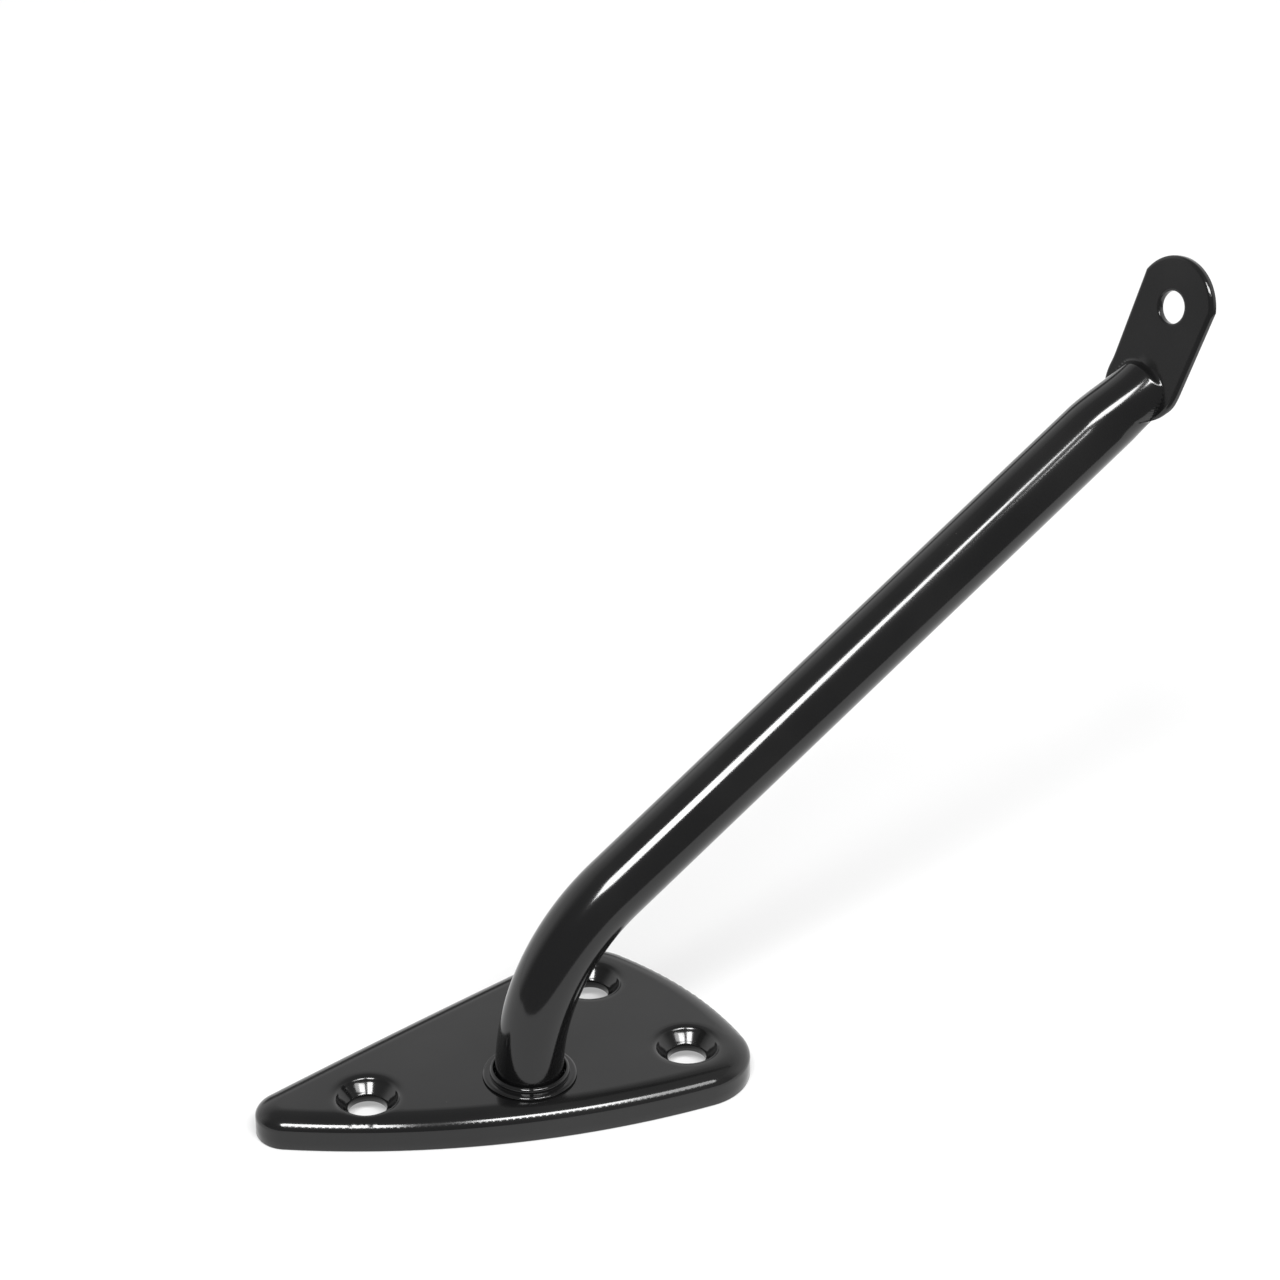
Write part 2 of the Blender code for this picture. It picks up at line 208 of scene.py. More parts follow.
def turned(profile, centre, count):
    """(radius, height) pairs turned about an axis: centre + radius (cos t, sin t), height."""
    t = np.linspace(0.0, 2.0 * math.pi, count, endpoint=False)
    grid = np.empty((len(profile), count, 3))
    grid[:, :, 0] = centre[0] + profile[:, 0:1] * np.cos(t)
    grid[:, :, 1] = centre[1] + profile[:, 0:1] * np.sin(t)
    grid[:, :, 2] = profile[:, 1:2]
    return grid


def smooth_curve(knots, count):
    """A cubic Hermite curve through (radius, depth) knots that never overshoots.

    Its slope at a knot is the harmonic mean of the chords on the two sides of it.
    """
    x, y = np.array(knots).T
    d = np.diff(y) / np.diff(x)
    same = d[1:] * d[:-1] > 0.0
    mid = np.where(same, 2.0 * d[1:] * d[:-1] / np.where(same, d[1:] + d[:-1], 1.0), 0.0)
    m = np.concatenate([[d[0]], mid, [0.0]])
    q = np.linspace(x[0], x[-1], count)
    k = np.clip(np.searchsorted(x, q) - 1, 0, len(d) - 1)
    h = x[k + 1] - x[k]
    t = (q - x[k]) / h
    value = (y[k] * (1 + 2 * t) * (1 - t) ** 2 + y[k + 1] * t * t * (3 - 2 * t)
             + h * (m[k] * t * (1 - t) ** 2 - m[k + 1] * t * t * (1 - t)))
    return q, value


# radius and depth, in millimetres, of the countersink on top and of its belly underneath
cup_knots = (
    (4.5, 3.8), (4.56, 3.4), (4.8, 3.08), (5.2, 2.72), (6.45, 1.45), (6.78, 1.08),
    (6.96, 0.84), (7.2, 0.54), (7.65, 0.23), (8.4, 0.05), (9.4, 0.0),
)
belly_knots = ((5.6, 5.2), (5.9, 5.08), (6.25, 4.7), (7.7, 2.75), (8.3, 2.2), (9.2, 2.0))
cup_r, cup_depth = smooth_curve(cup_knots, 240)
belly_r, belly_depth = smooth_curve(belly_knots, 120)
belly_depth -= pan_sheet / mm


def skin(plan, inset, reach, drop, top, cup_r, cup_depth):
    """Height of a skin of the pan.

    It is top - drop + drop sqrt(1 - (1 - d / reach)^2), where d is the distance inside the
    skin's own edge, less the depth of the dimples at each point's distance from their centres.
    """
    d = np.clip(inset_of(plan) - inset, 0.0, reach)
    z = top - drop + drop * np.sqrt(np.clip(1.0 - (1.0 - d / reach) ** 2, 0.0, 1.0))
    for centre in screw_centres:
        r = np.hypot(plan[:, 0] - centre[0], plan[:, 1] - centre[1]) / mm
        z = z - np.interp(r, cup_r, cup_depth, right=0.0) * mm
    return z


def lifted(plan, *shape):
    """Plan points carried up on to a skin."""
    return np.column_stack([plan, skin(plan, *shape)])


def rings_at(radii, centre, count):
    """Plan circles round one hole: centre + r (cos t, sin t) for every r."""
    t = np.linspace(0.0, 2.0 * math.pi, count, endpoint=False)
    circle = np.stack([np.cos(t), np.sin(t)], axis=1)
    return np.asarray(centre) + np.asarray(radii)[:, None, None] * circle


top_shape = (0.0, edge_in, edge_drop, pan_height, cup_r, cup_depth)
under_reach, under_drop = edge_in - pan_sheet, edge_drop - pan_sheet
under_top = pan_height - pan_sheet
under_shape = (pan_sheet, under_reach, under_drop, under_top, belly_r, belly_depth)
tilt = np.radians(np.linspace(0.0, 90.0, 31))
top_insets = edge_in * (1.0 - np.cos(tilt))
under_insets = pan_sheet + under_reach * (1.0 - np.cos(tilt[::3]))
pan = Shell()

# the skirt: down its outer side, round the rim it stands on, and up its inner side
outer_side = ((0.0, skirt_middle), (0.0, rim_round), (rim_ease, rim_ease), (rim_round, 0.0))
skirt = [(0.0, pan_height - edge_drop), *outer_side]
skirt += [(pan_sheet - inset, z) for inset, z in reversed(outer_side)]
skirt.append((pan_sheet, under_top - under_drop))
wall = [(plan_loop(inset), z) for inset, z in skirt]
pan.grid(np.array([np.column_stack([loop, np.full(len(loop), z)]) for loop, z in wall]))

# the top and the underside: rings down the edge and round each dimple, a flat sheet between
edge_clear, hole_clear = 0.25 * mm, 0.2 * mm
tip_rings = np.arange(8.4, 9.9, 0.35) * mm
for insets, shape, first, inner, reach in (
    (top_insets, top_shape, 6, cup_r[0] * mm, np.array([8.0, 9.4, 9.4]) * mm),
    (under_insets, under_shape, 3, belly_r[0] * mm, np.array([8.2, 9.2, 9.2]) * mm),
):
    edge = np.array([plan_loop(i) for i in insets[: first + 1]])
    flat_edge = edge.reshape(-1, 2)
    pan.grid(lifted(flat_edge, *shape).reshape(edge.shape[0], -1, 3))
    loops = [edge[-1]]
    for centre, far in zip(screw_centres, reach):
        radii = np.linspace(inner, far, 16)
        if inner < throat_end:
            radii = np.concatenate([
                np.linspace(inner, throat_end, 7)[:-1],
                np.linspace(throat_end, cone_end, 8)[:-1],
                np.linspace(cone_end, far, 24),
            ])
        cup = rings_at(radii, centre, screw_steps)
        pan.grid(lifted(cup.reshape(-1, 2), *shape).reshape(cup.shape[0], -1, 3))
        loops.append(cup[-1])
    loops.append(rings_at([tube_radius + hole_margin], (0.0, 0.0), tube_steps)[0])
    more = [plan_loop(i)[::2] for i in insets[first + 1:]]
    more += [rings_at(tip_rings, screw_centres[0], 60).reshape(-1, 2)]
    more = np.vstack(more)
    free = inset_of(more) > insets[first] + edge_clear
    for loop in loops[1:]:
        middle = loop.mean(axis=0)
        free &= np.hypot(*(more - middle).T) > np.hypot(*(loop[0] - middle)) + hole_clear
    pan.sheet(loops, lambda p, shape=shape: lifted(p, *shape), more[free])

# radius and height, in millimetres, of the throat under each dimple and of the tube's hole
throat_profile = np.array([
    [4.5, 4.2], [4.5, 3.6], [4.5, 3.05], [4.57, 2.88],
    [4.75, 2.8], [5.3, 2.8], [5.5, 2.8], [5.6, 2.8],
]) * mm
bore_profile = np.array([
    [9.2, 8.0], [8.9, 8.0], [8.5, 7.95], [8.3, 7.75],
    [8.3, 6.25], [8.5, 6.05], [8.9, 6.0], [9.2, 6.0],
]) * mm
for centre in screw_centres:
    pan.grid(turned(throat_profile, centre, screw_steps))
pan.grid(turned(bore_profile, (0.0, 0.0), tube_steps))


# Every piece carries the same baked black coat, so it is worked out once, here, with the
# first piece. It has a faint orange peel, a finer grain, slow changes of gloss and a few
# specks of dust; each piece adds a pattern of its own.
def wire(tree, node, **inputs):
    """Set or link the named inputs of a node; a link wins where a socket is given."""
    for key, value in inputs.items():
        socket = node.inputs[key.replace("_", " ")]
        if isinstance(value, bpy.types.NodeSocket):
            tree.links.new(value, socket)
        else:
            socket.default_value = value
    return node


def combined(tree, operation, a, b):
    """One math node: the operation worked on a and b."""
    node = tree.nodes.new("ShaderNodeMath")
    node.operation = operation
    for socket, value in zip(node.inputs, (a, b)):
        if isinstance(value, bpy.types.NodeSocket):
            tree.links.new(value, socket)
        else:
            socket.default_value = value
    return node.outputs[0]


def noise(tree, vector, scale, detail):
    """Noise of the given grain, in cells per metre, from 0 to 1."""
    node = tree.nodes.new("ShaderNodeTexNoise")
    wire(tree, node, Vector=vector, Scale=scale, Detail=detail)
    return node.outputs["Fac"]


def ranged(tree, value, low_in, high_in, low_out, high_out, smooth=False):
    """Carry a value from one range to another: the share of the way along stays the same."""
    node = tree.nodes.new("ShaderNodeMapRange")
    if smooth:
        node.interpolation_type = "SMOOTHSTEP"
    tree.links.new(value, node.inputs["Value"])
    keys = ("From Min", "From Max", "To Min", "To Max")
    for key, number in zip(keys, (low_in, high_in, low_out, high_out)):
        node.inputs[key].default_value = number
    return node.outputs["Result"]


finish = bpy.data.node_groups.new("coat finish", "ShaderNodeTree")
for socket_name, direction, kind in (
    ("Vector", "INPUT", "NodeSocketVector"),
    ("Pattern", "INPUT", "NodeSocketFloat"),
    ("Gloss", "OUTPUT", "NodeSocketFloat"),
    ("Dust", "OUTPUT", "NodeSocketFloat"),
    ("Normal", "OUTPUT", "NodeSocketVector"),
):
    finish.interface.new_socket(name=socket_name, in_out=direction, socket_type=kind)
given = finish.nodes.new("NodeGroupInput")
result = finish.nodes.new("NodeGroupOutput")
place = given.outputs["Vector"]

# the relief's heights are in millimetres, the noises' grains in cells per metre
peel = combined(finish, "MULTIPLY", noise(finish, place, 620.0, 1.0), 0.0016)
grain = combined(finish, "MULTIPLY", noise(finish, place, 3600.0, 1.0), 0.0003)
relief = combined(finish, "ADD", combined(finish, "ADD", peel, grain), given.outputs["Pattern"])
bump = wire(finish, finish.nodes.new("ShaderNodeBump"), Height=relief, Distance=mm, Strength=1.0)

# dust: round specks in some of the cells, over a thin haze; gloss changes slowly
cells = wire(finish, finish.nodes.new("ShaderNodeTexVoronoi"), Vector=place, Scale=170.0)
speck = ranged(finish, cells.outputs["Distance"], 0.02, 0.035, 1.0, 0.0, True)
chosen = ranged(finish, noise(finish, place, 90.0, 0.0), 0.55, 0.62, 0.0, 1.0, True)
haze = ranged(finish, noise(finish, place, 34.0, 3.0), 0.42, 0.75, 0.0, 0.12, True)
dust = combined(finish, "MAXIMUM", combined(finish, "MULTIPLY", speck, chosen), haze)
fine = combined(finish, "MULTIPLY", grain, 240.0)
gloss = combined(finish, "ADD", noise(finish, place, 46.0, 2.0), fine)
wire(finish, result, Gloss=gloss, Dust=dust, Normal=bump.outputs["Normal"])


lacquer_ior = 1.5


def coat(name, base, dusty, smooth, rough, pattern):
    """A black coat. Its pattern gives a height in millimetres from the place on the piece.

    base and dusty are the clean and the dusty grey, smooth and rough the range of roughness.
    """
    mat = bpy.data.materials.new(name)
    mat.use_nodes = True
    nodes = mat.node_tree
    spot = nodes.nodes.new("ShaderNodeTexCoord").outputs["Object"]
    detail = nodes.nodes.new("ShaderNodeGroup")
    detail.node_tree = finish
    wire(nodes, detail, Vector=spot, Pattern=pattern(nodes, spot))
    tint = nodes.nodes.new("ShaderNodeMix")
    tint.data_type = "RGBA"
    nodes.links.new(detail.outputs["Dust"], tint.inputs["Factor"])
    tint.inputs["A"].default_value = (base, base, base * 1.04, 1.0)
    tint.inputs["B"].default_value = (dusty, dusty * 0.98, dusty * 0.94, 1.0)
    shader = nodes.nodes["Principled BSDF"]
    roughness = ranged(nodes, detail.outputs["Gloss"], 0.25, 0.85, smooth, rough)
    wire(nodes, shader, Base_Color=tint.outputs["Result"], Normal=detail.outputs["Normal"],
         Roughness=roughness, IOR=lacquer_ior)
    return mat


def pressed(tree, spot):
    """Slow waves left by the press: coarse noise, 0.005 mm high."""
    return combined(tree, "MULTIPLY", noise(tree, spot, 70.0, 0.0), 0.005)


foot_piece = pan.build("foot_shell")
foot_piece.data.materials.append(coat("foot coat", 0.0045, 0.035, 0.10, 0.17, pressed))
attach(foot_piece, "root")
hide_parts("foot_pan")

# ---------------------------------------------------------------- collar ring
# A stepped ring sits on the foot round the tube and hides the edge of the hole. It is
# turned from steel, a thin flange with a low boss inside it, and coated with the rest.
low = pan_height + gap
crest = pan_height + 2.1 * mm
flange = pan_height + 0.9 * mm
ring_bore = tube_radius + gap
boss_radius, boss_round = 9.4 * mm, 0.75 * mm
flange_radius, flange_round, flange_fall = 11.0 * mm, 0.8 * mm, 0.55 * mm
ring_ease = 0.1 * mm

# small steps, in millimetres: the lip at the top of the bore, the fillet at the boss's foot
lip_steps = np.array([[0.0, -0.9], [0.02, -0.5], [0.1, -0.28], [0.2, -0.12], [0.32, -0.02]])
fillet_steps = np.array([[0.0, 0.1], [0.02, 0.03], [0.06, 0.005], [0.14, 0.0]])
brim_base = flange - flange_fall
brim = quarter(flange_radius - flange_round, brim_base, flange_round, 88.0, 3.0, 15)
brim[:, 1] = brim_base + (brim[:, 1] - brim_base) * flange_fall / flange_round
collar_profile = np.vstack([
    [ring_bore, crest] + lip_steps * mm,
    quarter(boss_radius - boss_round, crest - boss_round, boss_round, 88.0, 3.0, 15),
    [boss_radius, flange] + fillet_steps * mm,
    brim,
    [[flange_radius, low + ring_ease], [flange_radius - 0.5 * ring_ease, low]],
    [[ring_bore + 0.5 * ring_ease, low], [ring_bore, low + ring_ease]],
])
ring = Shell()
ring.grid(turned(np.vstack([collar_profile, collar_profile[:1]]), (0.0, 0.0), tube_steps))


def lathed(tree, spot):
    """Fine rings left by the lathe: sin(2 pi distance from the tube's axis / 0.3 mm)."""
    flat = tree.nodes.new("ShaderNodeVectorMath")
    flat.operation = "MULTIPLY"
    flat.inputs[1].default_value = (1.0, 1.0, 0.0)
    tree.links.new(spot, flat.inputs[0])
    far = tree.nodes.new("ShaderNodeVectorMath")
    far.operation = "LENGTH"
    tree.links.new(flat.outputs["Vector"], far.inputs[0])
    turns = combined(tree, "MULTIPLY", far.outputs["Value"], 2.0 * math.pi / (0.3 * mm))
    return combined(tree, "MULTIPLY", combined(tree, "SINE", turns, 0.0), 0.00015)


collar_piece = ring.build("collar_ring")
collar_piece.data.materials.append(coat("collar coat", 0.0045, 0.03, 0.05, 0.09, lathed))
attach(collar_piece, "root")
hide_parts("root_collar")

# ---------------------------------------------------------------- tube arm
# The arm is one round steel tube. Its root stands upright, one long bend turns it
# outwards, and its far end is pressed flat, bent up, trimmed round and punched.
tube_wall = 1.2 * mm
tube_foot = 2.6 * mm
corner_z = 36.7 * mm
bend_radius = 50.0 * mm
azimuth = math.radians(16.0)
full_turn = math.radians(90.0 - 32.6)
arm_length = 193.9 * mm
flat_bend = math.radians(40.0)
flat_twist = math.radians(11.7)
flat_thick = 1.8 * mm
flat_half, flat_taper, flat_round = 10.5 * mm, 0.025, 0.8 * mm
end_radius = 11.9 * mm
bolt_at = 25.1 * mm
flat_shift, flat_skew = -1.25 * mm, 0.03
flare_centre = 5.5 * mm
toe_centre, toe_radius, toe_rise = 1.0 * mm, 9.5 * mm, 2.6 * mm
toe_depth, toe_power, toe_limit = 16.0 * mm, 2.2, 1.2
back_round = 2.8 * mm
settle = 3.0 * mm
drift_from, drift_to = -6.0 * mm, 8.0 * mm
bend_lead = 0.3 * mm

# the plain round tube stops this far before the flat, and the shoulder's sections run on
round_stop = 36.0 * mm
shoulder_start, shoulder_end = -14.0 * mm, 13.0 * mm
side_at = 29.6 * mm
bore_tail = 14.0 * mm
level = np.array([math.cos(azimuth), math.sin(azimuth), 0.0])
up = np.array([0.0, 0.0, 1.0])


def arm_axes(turn):
    """Tangent, near side and width of the tube, turned off the vertical by turn.

    The near side is the bend's outer side, twisted about the tangent by the flat's twist.
    """
    tangent = math.sin(turn) * level + math.cos(turn) * up
    lift = -math.cos(turn) * level + math.sin(turn) * up
    near = math.cos(flat_twist) * lift + math.sin(flat_twist) * np.cross(level, up)
    return tangent, near, np.cross(near, tangent)


def tube_ring(radius, centre, axes, phi, tilt=0.0):
    """centre + radius (cos phi near + sin phi width), leaned back by tilt on the near side."""
    tangent, near, width = axes
    x, y = radius * np.cos(phi), radius * np.sin(phi)
    return centre + np.outer(x, near) + np.outer(y, width) - np.outer(x * tilt, tangent)


def root_rings(radius, phi, steps):
    """Rings up the upright root, then along the bend: up R sin t, outwards R (1 - cos t)."""
    start = corner_z - bend_radius * math.tan(0.5 * full_turn)
    heights = np.linspace(tube_foot, start - bend_lead, 6)
    rings = [tube_ring(radius, up * z, arm_axes(0.0), phi) for z in heights]
    for turn in np.linspace(0.0, full_turn, steps):
        rise = start + bend_radius * math.sin(turn)
        centre = up * rise + level * bend_radius * (1.0 - math.cos(turn))
        rings.append(tube_ring(radius, centre, arm_axes(turn), phi))
    return rings


def step(x, a, b):
    """Smooth step 3t^2 - 2t^3 from 0 at a to 1 at b."""
    t = np.clip((x - a) / (b - a), 0.0, 1.0)
    return t * t * (3.0 - 2.0 * t)


def flat_width(u):
    """Half width of the end: a flare sqrt(half^2 - (centre - u)^2), then a straight taper."""
    if u < flare_centre:
        least = (0.5 * tube_radius) ** 2
        return math.sqrt(max(flat_half ** 2 - (flare_centre - u) ** 2, least))
    return flat_half + flat_taper * (u - flare_centre)


def end_section(u, phi):
    """Width and height of the end's outline at u along the flat, round the section by phi.

    v = reach sin phi. The heights are the tilted tube's ellipse, (+-root - u sine) / cosine,
    held under the shoulder on the near side and at the flat's back on the far side. They
    blend into the flat's own section, which has an elliptical edge.
    """
    half = flat_width(u)
    reach = max(half, tube_radius) if u < flare_centre else half
    v = reach * np.sin(phi)
    root = np.sqrt(np.clip(tube_radius ** 2 - v ** 2, 0.0, None))
    sine, cosine = math.sin(flat_bend), math.cos(flat_bend)
    edge = -0.5 * flat_thick
    body = np.sqrt(1.0 - (1.0 - np.clip((half - np.abs(v)) / flat_round, 0.0, 1.0)) ** 2)
    blend = float(step(u, -settle, settle))
    middle = (1.0 - blend) * max(-u * math.tan(flat_bend), edge) + blend * edge
    away = np.hypot(max(u - toe_centre, 0.0), v)
    inward = np.clip((toe_radius - away) / toe_rise, 0.0, toe_limit)
    shoulder = toe_depth * inward ** toe_power + max(toe_centre - u, 0.0)
    near = np.minimum((root - u * sine) / cosine, shoulder)
    near = np.where(np.abs(v) < tube_radius, near, middle)
    front = np.maximum(near, edge + 0.5 * flat_thick * body)
    far = (-root - u * sine) / cosine
    close = np.clip(1.0 - np.abs(far + flat_thick) / back_round, 0.0, None)
    back = np.maximum(far, -flat_thick) + 0.25 * back_round * close ** 2
    flat_back = np.minimum(back, edge - 0.5 * flat_thick * body)
    back = np.where(np.abs(v) <= half, back + blend * (flat_back - back), back)
    height = np.where(np.cos(phi) > 1e-9, front, back)
    return v, np.where(np.abs(np.cos(phi)) < 1e-9, 0.5 * (front + back), height)


arm_turned = arm_axes(full_turn)
tangent, near_side, flat_across = arm_turned
flat_along = math.cos(flat_bend) * tangent + math.sin(flat_bend) * near_side
flat_normal = -math.sin(flat_bend) * tangent + math.cos(flat_bend) * near_side
corner = up * corner_z
flat_origin = corner + tangent * arm_length


def on_flat(u, v, n):
    """Points of the end: origin + u along + (v + a slight sideways drift) across + n normal."""
    u = np.asarray(u, float)
    shift = (flat_shift + flat_skew * (u - bolt_at)) * step(u, drift_from, drift_to)
    along = np.multiply.outer(u, flat_along)
    across = np.multiply.outer(v + shift, flat_across)
    return flat_origin + along + across + np.multiply.outer(n, flat_normal)


count = 128
phi = np.linspace(0.0, 2.0 * math.pi, count, endpoint=False)
outer = root_rings(tube_radius, phi, 48)
bend_end = bend_radius * math.tan(0.5 * full_turn)
for part in np.linspace(0.0, 1.0, 12)[1:]:
    out = bend_end + part * (arm_length - round_stop - bend_end)
    outer.append(tube_ring(tube_radius, corner + tangent * out, arm_turned, phi))
stop = shoulder_start / math.cos(flat_bend)
for part in np.linspace(0.0, 1.0, 10)[1:-1]:
    out = arm_length - round_stop + part * (round_stop + stop)
    lean = part * math.tan(flat_bend)
    outer.append(tube_ring(tube_radius, corner + tangent * out, arm_turned, phi, lean))
stations = np.concatenate([
    np.linspace(shoulder_start, -1.0 * mm, 26),
    np.linspace(-0.7 * mm, 10.0 * mm, 54),
    np.linspace(11.0 * mm, shoulder_end, 3),
])
for u in stations:
    v, n = end_section(u, phi)
    outer.append(on_flat(np.full(count, u), v, n))
arm = Shell()
arm.grid(np.array(outer))

# the bore: it follows the tube and closes in a blunt point before the shoulder
inner = root_rings(tube_radius - tube_wall, phi, 32)
tail = corner + tangent * (arm_length - round_stop)
inner.append(tube_ring(tube_radius - tube_wall, tail, arm_turned, phi))
for radius in (0.3 * tube_radius, 0.002 * mm):
    inner.append(tube_ring(radius, tail + tangent * bore_tail, arm_turned, phi))
arm.grid(np.array(inner))
arm.faces.append((np.arange(count) + (len(outer) + len(inner) - 1) * count).tolist())
arm.grid(np.stack([outer[0], inner[0]]))

# the flat's edge: the last ring's sides carried round the trimmed end
side_half, a_hair = 45.0, 0.1
side = np.abs(np.degrees(phi) - 90.0) <= side_half + a_hair
side_v, side_n = end_section(shoulder_end, phi[side])
inset = flat_width(shoulder_end) - side_v
corner_u = bolt_at + math.sqrt(end_radius ** 2 - flat_width(side_at) ** 2)
corner_a = math.asin(flat_width(corner_u) / end_radius)
side_steps = 12
straight_u = np.linspace(shoulder_end, corner_u, side_steps, endpoint=False)
straight_v = np.array([flat_width(u) for u in straight_u])
arc_a = np.linspace(corner_a, -corner_a, 91)
arc_u, arc_v = np.cos(arc_a), np.sin(arc_a)
path_u = np.concatenate([straight_u, bolt_at + end_radius * arc_u, straight_u[::-1]])
path_v = np.concatenate([straight_v, end_radius * arc_v, -straight_v[::-1]])
out_u = np.concatenate([np.zeros(side_steps), arc_u, np.zeros(side_steps)])
out_v = np.concatenate([np.ones(side_steps), arc_v, -np.ones(side_steps)])
edge_u = path_u[None] - inset[:, None] * out_u[None]
edge_v = path_v[None] - inset[:, None] * out_v[None]
edge_n = np.repeat(side_n[:, None], len(path_u), axis=1)
arm.grid(on_flat(edge_u, edge_v, edge_n), around=False)

# the bolt hole, punched square with slightly softened rims: radius and depth in millimetres
bolt_steps = 96
t = np.linspace(0.0, 2.0 * math.pi, bolt_steps, endpoint=False)
near_rim = np.array([[4.5, 0.0], [4.2, 0.0], [3.95, -0.04], [3.84, -0.12], [3.8, -0.25]]) * mm
far_rim = (near_rim * [1.0, -1.0])[::-1] - [0.0, flat_thick]
bolt_profile = np.vstack([near_rim, far_rim])
bolt_u = bolt_at + np.multiply.outer(bolt_profile[:, 0], np.cos(t))
bolt_v = np.multiply.outer(bolt_profile[:, 0], np.sin(t))
arm.grid(on_flat(bolt_u, bolt_v, np.repeat(bolt_profile[:, 1:2], bolt_steps, axis=1)))
bolt_loop = np.column_stack([bolt_u[0], bolt_v[0]])
for end, want, depth in ((0, np.cos(phi) > 0, 0.0), (-1, np.cos(phi) < 0, -flat_thick)):
    rest = want & (np.abs(np.sin(phi)) < math.sin(math.radians(side_half - a_hair)))
    row_v = np.sort(end_section(shoulder_end, phi[rest])[0])
    row = np.column_stack([np.full(len(row_v), shoulder_end), row_v])
    outline = np.vstack([np.column_stack([edge_u[end], edge_v[end]]), row])
    arm.sheet(
        [outline, bolt_loop],
        lambda p, n=depth: on_flat(p[:, 0], p[:, 1], np.full(len(p), n)),
    )


def drawn(tree, spot):
    """Faint long streaks along the arm: noise stretched twelve times along its axis."""
    lay = tree.nodes.new("ShaderNodeMapping")
    lay.vector_type = "TEXTURE"
    # the arm's rise and azimuth, in radians
    lay.inputs["Rotation"].default_value = (0.0, -0.569, 0.279)
    lay.inputs["Scale"].default_value = (12.0, 1.0, 1.0)
    tree.links.new(spot, lay.inputs["Vector"])
    return combined(tree, "MULTIPLY", noise(tree, lay.outputs["Vector"], 420.0, 1.0), 0.0012)


arm_piece = arm.build("arm_tube_skin")
arm_piece.data.materials.append(coat("arm coat", 0.0045, 0.03, 0.08, 0.14, drawn))
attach(arm_piece, "root")
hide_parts("arm_tube")

# ---------------------------------------------------------------- weld inside the foot
# One fillet weld runs round the tube under the sheet and holds the two together. It is a
# bead of melted steel, laid in short overlapping ripples, and coated with the rest. It is
# hidden from above.
under_weld = pan_height - pan_sheet - gap
ripples, ripple_height = 30.0, 0.02
weld_profile = np.array([
    [8.3, -2.8], [8.6, -2.78], [9.0, -2.4], [9.5, -1.7], [10.2, -1.05],
    [10.8, -0.6], [11.0, -0.35], [10.95, 0.0], [8.3, 0.0], [8.3, -2.8],
]) * mm
weld = Shell()
bead = turned(weld_profile + [0.0, under_weld], (0.0, 0.0), 240)

# the radius shrinks by sin^2 of the angle times the ripples, most on the bead's open face
angle = np.arctan2(bead[:, :, 1], bead[:, :, 0])
swell = np.sin(angle * ripples + 1.2 * np.sin(angle * 3.0)) ** 2
outwards = np.clip((weld_profile[:, 0] - 8.4 * mm) / mm, 0.0, 1.0)
downwards = np.clip(-weld_profile[:, 1] / mm, 0.0, 1.0)
shrink = 1.0 - ripple_height * swell * (outwards * downwards)[:, None]
bead[:, :, :2] *= shrink[:, :, None]
weld.grid(bead)


def beaded(tree, spot):
    """The weld's rough skin under the coat: noise of four sizes, 0.09 mm high."""
    return combined(tree, "MULTIPLY", noise(tree, spot, 750.0, 3.0), 0.09)


weld_piece = weld.build("weld_bead")
weld_piece.data.materials.append(coat("weld coat", 0.006, 0.04, 0.26, 0.4, beaded))
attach(weld_piece, "root")
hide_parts("root_weld")


# ---------------------------------------------------------------- studio
# A pale floor that glows a little, a bright backdrop low behind the bracket, and two
# upright soft boxes with a dimmer third one, high on the camera's side.
def laid_sheet(name, corners, lift, finish_name, grey, glow):
    """A flat four-cornered sheet lifted to a height: matt grey, with a white glow."""
    mesh = bpy.data.meshes.new(name)
    mesh.from_pydata([tuple(spot) for spot in corners], [], [(0, 1, 2, 3)])
    laid = bpy.data.objects.new(name, mesh)
    bpy.context.scene.collection.objects.link(laid)
    laid.location.z = lift
    matt = bpy.data.materials.new(finish_name)
    matt.use_nodes = True
    shader = matt.node_tree.nodes["Principled BSDF"]
    shader.inputs["Base Color"].default_value = (grey, grey, grey, 1.0)
    shader.inputs["Specular IOR Level"].default_value = 0.0
    shader.inputs["Emission Color"].default_value = (1.0, 1.0, 1.0, 1.0)
    shader.inputs["Emission Strength"].default_value = glow
    mesh.materials.append(matt)
    return laid, shader


far_out = 6.0
floor_corners = [(x, y, 0.0) for x, y in (
    (-far_out, -far_out), (far_out, -far_out), (far_out, far_out), (-far_out, far_out))]
floor, paper = laid_sheet("floor", floor_corners, -0.1 * mm, "paper", 0.46, 0.38)
paper.inputs["Roughness"].default_value = 1.0

# the room: a bright backdrop ahead of the camera, a dim room elsewhere, and a dark gap low
# behind and to the left
view_turn = math.radians(-14.844)
forward = Vector((-math.sin(view_turn), math.cos(view_turn), 0.0))
rightward = Vector((math.cos(view_turn), math.sin(view_turn), 0.0))
gap_turn = math.radians(12.0)
gap_way = forward * math.cos(gap_turn) - rightward * math.sin(gap_turn)
world = bpy.data.worlds.new("studio")
world.use_nodes = True
tree = world.node_tree
direction = tree.nodes.new("ShaderNodeTexCoord").outputs["Generated"]
height = tree.nodes.new("ShaderNodeSeparateXYZ")
tree.links.new(direction, height.inputs[0])


def towards(way, low_in, high_in):
    """1 where the direction's dot product with way is over high_in, 0 under low_in."""
    dot = tree.nodes.new("ShaderNodeVectorMath")
    dot.operation = "DOT_PRODUCT"
    dot.inputs[1].default_value = way
    tree.links.new(direction, dot.inputs[0])
    return ranged(tree, dot.outputs["Value"], low_in, high_in, 0.0, 1.0, True)


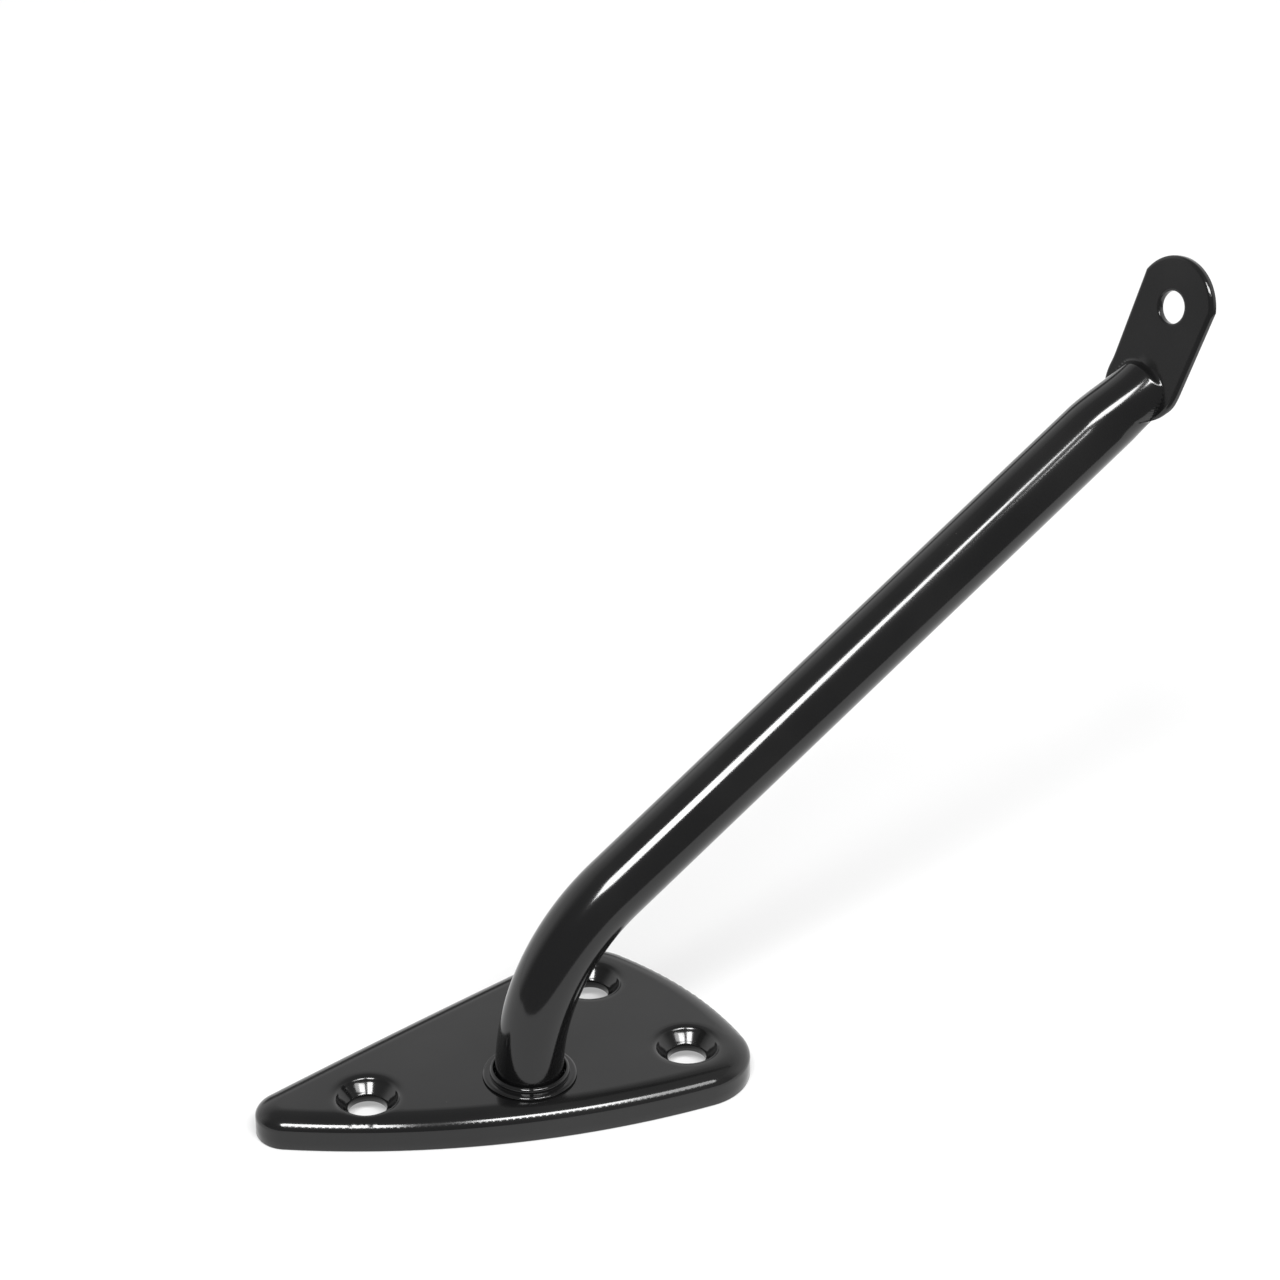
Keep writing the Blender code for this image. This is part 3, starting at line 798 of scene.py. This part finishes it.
def mixed(blend, factor, a, b):
    """One colour mixed into another by the factor."""
    node = tree.nodes.new("ShaderNodeMix")
    node.data_type = "RGBA"
    node.blend_type = blend
    tree.links.new(factor, node.inputs["Factor"])
    tree.links.new(a, node.inputs["A"])
    tree.links.new(b, node.inputs["B"])
    return node.outputs["Result"]


def height_ramp(stops):
    """Brightness against the sine of the elevation, eased between (sine, brightness) stops."""
    ramp = tree.nodes.new("ShaderNodeValToRGB")
    ramp.color_ramp.interpolation = "EASE"
    while len(ramp.color_ramp.elements) < len(stops):
        ramp.color_ramp.elements.new(0.5)
    for element, (place, value) in zip(ramp.color_ramp.elements, stops):
        element.position = place
        element.color = (value, value, value, 1.0)
    tree.links.new(height.outputs["Z"], ramp.inputs["Fac"])
    return ramp.outputs["Color"]


backdrop = height_ramp((
    (0.0, 1.1), (0.4, 1.0), (0.575, 0.8), (0.7, 0.62), (0.8, 0.34), (1.0, 0.3)))
room = height_ramp(((0.0, 0.25), (0.5, 0.25), (1.0, 0.3)))
dark_gap = height_ramp(((0.0, 1.0), (0.1, 1.0), (0.17, 0.15), (0.34, 0.15), (0.43, 1.0)))
shaded = mixed("MULTIPLY", towards(gap_way, 0.905, 0.94), backdrop, dark_gap)
around = mixed("MIX", towards(forward, -0.25, 0.3), room, shaded)
tree.links.new(around, tree.nodes["Background"].inputs["Color"])
bpy.context.scene.world = world

# a black flag lies on the floor in front and to the right; only reflections see it
flag_corners = [rightward * r - forward * t for r, t in (
    (-far_out, 3.055), (far_out, -2.705), (far_out, far_out), (-far_out, far_out))]
flag, _ = laid_sheet("flag", flag_corners, 0.2 * mm, "felt", 0.0, 0.25)
flag.visible_camera = False
flag.visible_diffuse = False
flag.visible_shadow = False

# two soft boxes and a dimmer one: left and right, foot and head on their common plane, in
# metres from its centre, and glow
boxes_turn, boxes_rise, boxes_away = math.radians(5.0), math.radians(56.0), 6.0
toward = -forward * math.cos(boxes_turn) + rightward * math.sin(boxes_turn)
out = toward * math.cos(boxes_rise) + Vector((0.0, 0.0, math.sin(boxes_rise)))
across = Vector((0.0, 0.0, 1.0)).cross(out).normalized()
upward = out.cross(across)
for name, left, right, foot, head, glow in (
    ("left_box", -2.016, -0.33, -0.845, 0.845, 30.0),
    ("right_box", 0.56, 2.528, -0.52, 0.74, 30.0),
    ("dim_box", 2.6, 4.2, -0.845, 0.845, 9.0),
):
    lamp_data = bpy.data.lights.new(name, "AREA")
    lamp_data.shape = "RECTANGLE"
    lamp_data.size = right - left
    lamp_data.size_y = head - foot
    lamp_data.energy = glow * math.pi * lamp_data.size * lamp_data.size_y
    lamp = bpy.data.objects.new(name, lamp_data)
    bpy.context.scene.collection.objects.link(lamp)
    lamp.location = out * boxes_away + across * 0.5 * (left + right) + upward * 0.5 * (foot + head)
    lamp.rotation_euler = out.to_track_quat("Z", "Y").to_euler()

camera_place = (-0.16016, -0.70528, 0.52212)
view_dip, view_roll = math.radians(28.9), math.radians(-0.136)
camera_data = bpy.data.cameras.new("camera")
camera_data.lens = 106.6
camera_data.sensor_width = 36.0
camera_data.clip_end = 20.0
camera = bpy.data.objects.new("camera", camera_data)
bpy.context.scene.collection.objects.link(camera)
camera.matrix_world = (
    Matrix.Translation(camera_place)
    @ Matrix.Rotation(view_turn, 4, "Z")
    @ Matrix.Rotation(0.5 * math.pi - view_dip, 4, "X")
    @ Matrix.Rotation(view_roll, 4, "Z")
)
bpy.context.scene.camera = camera
bpy.context.scene.view_settings.view_transform = "Standard"
